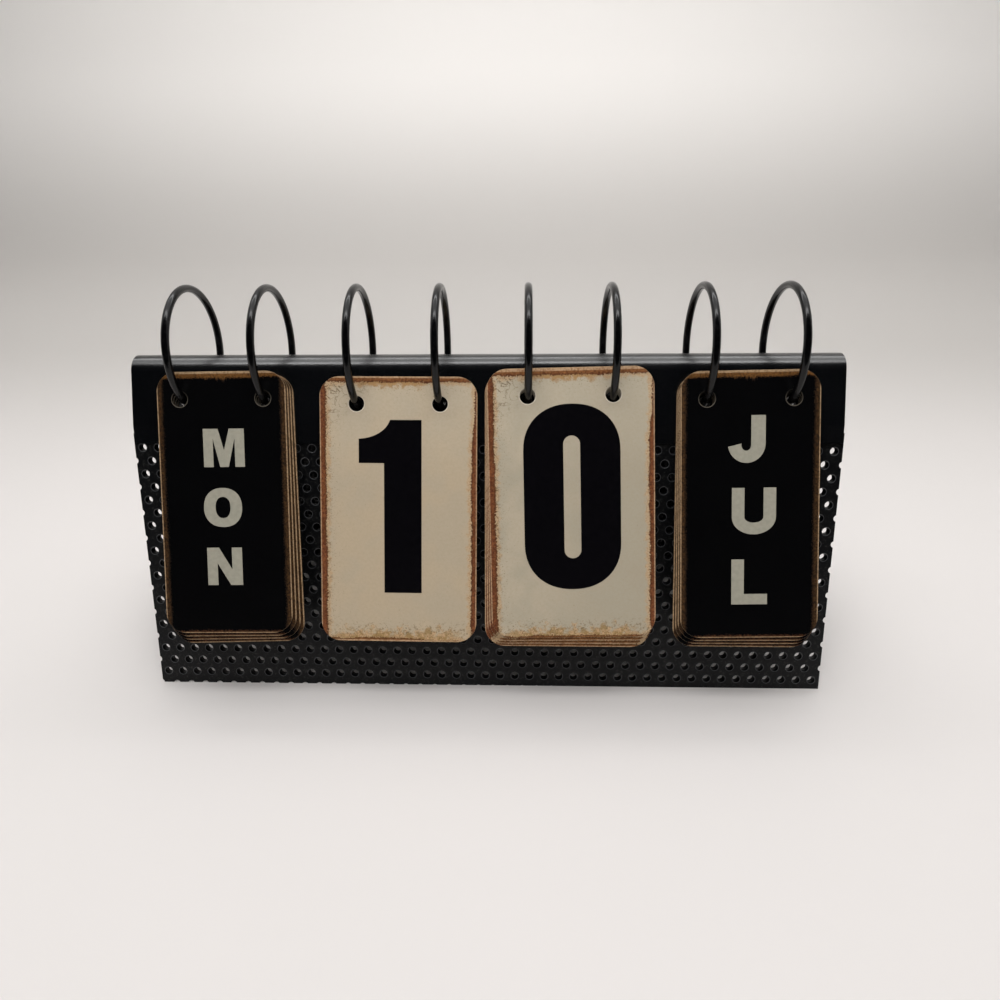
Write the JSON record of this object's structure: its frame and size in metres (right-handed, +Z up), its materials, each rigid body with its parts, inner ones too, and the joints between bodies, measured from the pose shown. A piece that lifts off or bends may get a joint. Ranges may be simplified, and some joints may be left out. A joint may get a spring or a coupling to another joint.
{
  "type": "flip-card desk calendar",
  "caption": "Perpetual desk calendar: perforated metal easel with wire ring pairs over its ridge, carrying flip-over cards for day, date and month.",
  "frame": {"origin": "on the table, under the middle of the whole calendar's box", "axes": "+Z up, +X to the right as the calendar is read, +Y to the rear"},
  "size_m": [0.3174, 0.1284, 0.1763],
  "materials": {
    "easel_paint": "satin black paint, perforated sheet",
    "ring_wire": "gloss black wire",
    "word_enamel": "worn black enamel with a rust brown border and grey white letters",
    "digit_enamel": "worn cream enamel with a rust brown border and black figures"
  },
  "bodies": {
    "stand": {"ridge_cap": "easel_paint", "front_screen": "easel_paint", "back_screen": "easel_paint"},
    "day_rings": {"day_ring_left": "ring_wire", "day_ring_right": "ring_wire"},
    "day_card_1": {"day_card_1": "word_enamel"},
    "day_card_2": {"day_card_2": "word_enamel"},
    "day_card_3": {"day_card_3": "word_enamel"},
    "day_card_4": {"day_card_4": "word_enamel"},
    "tens_rings": {"tens_ring_left": "ring_wire", "tens_ring_right": "ring_wire"},
    "tens_card_1": {"tens_card_1": "digit_enamel"},
    "tens_card_2": {"tens_card_2": "digit_enamel"},
    "unit_rings": {"unit_ring_left": "ring_wire", "unit_ring_right": "ring_wire"},
    "unit_card_1": {"unit_card_1": "digit_enamel"},
    "unit_card_2": {"unit_card_2": "digit_enamel"},
    "unit_card_3": {"unit_card_3": "digit_enamel"},
    "unit_card_4": {"unit_card_4": "digit_enamel"},
    "unit_card_5": {"unit_card_5": "digit_enamel"},
    "month_rings": {"month_ring_left": "ring_wire", "month_ring_right": "ring_wire"},
    "month_card_1": {"month_card_1": "word_enamel"},
    "month_card_2": {"month_card_2": "word_enamel"},
    "month_card_3": {"month_card_3": "word_enamel"},
    "month_card_4": {"month_card_4": "word_enamel"},
    "month_card_5": {"month_card_5": "word_enamel"},
    "month_card_6": {"month_card_6": "word_enamel"}
  },
  "joints": [
    {"name": "day_lift_1", "type": "hinge", "parent": "stand", "child": "day_card_1", "pos_m": [-0.1156, 0.0059, 0.1476], "axis": [-1, 0, 0], "range_deg": [0, 8]},
    {"name": "day_lift_2", "type": "hinge", "parent": "day_card_1", "child": "day_card_2", "pos_m": [-0.1156, 0.0059, 0.1476], "axis": [-1, 0, 0], "range_deg": [0, 8]},
    {"name": "day_lift_3", "type": "hinge", "parent": "day_card_2", "child": "day_card_3", "pos_m": [-0.1156, 0.0059, 0.1476], "axis": [-1, 0, 0], "range_deg": [0, 8]},
    {"name": "day_turn", "type": "hinge", "parent": "day_card_3", "child": "day_rings", "pos_m": [-0.1156, 0.0059, 0.1476], "axis": [-1, 0, 0], "range_deg": [0, 248]},
    {"name": "day_swing", "type": "hinge", "parent": "day_rings", "child": "day_card_4", "pos_m": [-0.1156, -0.01701, 0.13331], "axis": [-1, 0, 0], "range_deg": [0, 34.2]},
    {"name": "tens_turn", "type": "hinge", "parent": "stand", "child": "tens_rings", "pos_m": [-0.038, 0.0059, 0.1476], "axis": [-1, 0, 0], "range_deg": [0, 283]},
    {"name": "tens_swing", "type": "hinge", "parent": "tens_rings", "child": "tens_card_1", "pos_m": [-0.038, -0.01481, 0.13028], "axis": [-1, 0, 0], "range_deg": [0, 21.5]},
    {"name": "tens_return_1", "type": "hinge", "parent": "stand", "child": "tens_card_2", "pos_m": [-0.038, 0.0059, 0.1476], "axis": [-1, 0, 0], "range_deg": [-230, 0]},
    {"name": "unit_lift_1", "type": "hinge", "parent": "stand", "child": "unit_card_1", "pos_m": [0.038, 0.0059, 0.1476], "axis": [-1, 0, 0], "range_deg": [0, 8]},
    {"name": "unit_lift_2", "type": "hinge", "parent": "unit_card_1", "child": "unit_card_2", "pos_m": [0.038, 0.0059, 0.1476], "axis": [-1, 0, 0], "range_deg": [0, 8]},
    {"name": "unit_lift_3", "type": "hinge", "parent": "unit_card_2", "child": "unit_card_3", "pos_m": [0.038, 0.0059, 0.1476], "axis": [-1, 0, 0], "range_deg": [0, 8]},
    {"name": "unit_turn", "type": "hinge", "parent": "unit_card_3", "child": "unit_rings", "pos_m": [0.038, 0.0059, 0.1476], "axis": [-1, 0, 0], "range_deg": [0, 248]},
    {"name": "unit_swing", "type": "hinge", "parent": "unit_rings", "child": "unit_card_4", "pos_m": [0.038, -0.01701, 0.13331], "axis": [-1, 0, 0], "range_deg": [0, 34.2]},
    {"name": "unit_return_1", "type": "hinge", "parent": "stand", "child": "unit_card_5", "pos_m": [0.038, 0.0059, 0.1476], "axis": [-1, 0, 0], "range_deg": [-230, 0]},
    {"name": "month_lift_1", "type": "hinge", "parent": "stand", "child": "month_card_1", "pos_m": [0.1156, 0.0059, 0.1476], "axis": [-1, 0, 0], "range_deg": [0, 8]},
    {"name": "month_lift_2", "type": "hinge", "parent": "month_card_1", "child": "month_card_2", "pos_m": [0.1156, 0.0059, 0.1476], "axis": [-1, 0, 0], "range_deg": [0, 8]},
    {"name": "month_lift_3", "type": "hinge", "parent": "month_card_2", "child": "month_card_3", "pos_m": [0.1156, 0.0059, 0.1476], "axis": [-1, 0, 0], "range_deg": [0, 8]},
    {"name": "month_turn", "type": "hinge", "parent": "month_card_3", "child": "month_rings", "pos_m": [0.1156, 0.0059, 0.1476], "axis": [-1, 0, 0], "range_deg": [0, 248]},
    {"name": "month_swing", "type": "hinge", "parent": "month_rings", "child": "month_card_4", "pos_m": [0.1156, -0.01701, 0.13331], "axis": [-1, 0, 0], "range_deg": [0, 34.2]},
    {"name": "month_return_1", "type": "hinge", "parent": "stand", "child": "month_card_5", "pos_m": [0.1156, 0.0059, 0.1476], "axis": [-1, 0, 0], "range_deg": [-8, 0]},
    {"name": "month_return_2", "type": "hinge", "parent": "month_card_5", "child": "month_card_6", "pos_m": [0.1156, 0.0059, 0.1476], "axis": [-1, 0, 0], "range_deg": [-222, 0]}
  ],
  "couplings": [
    {"joint": "day_swing", "follows": "day_turn", "ratio": 0.13629},
    {"joint": "tens_swing", "follows": "tens_turn", "ratio": 0.074558},
    {"joint": "unit_swing", "follows": "unit_turn", "ratio": 0.13629},
    {"joint": "month_swing", "follows": "month_turn", "ratio": 0.13629}
  ]
}
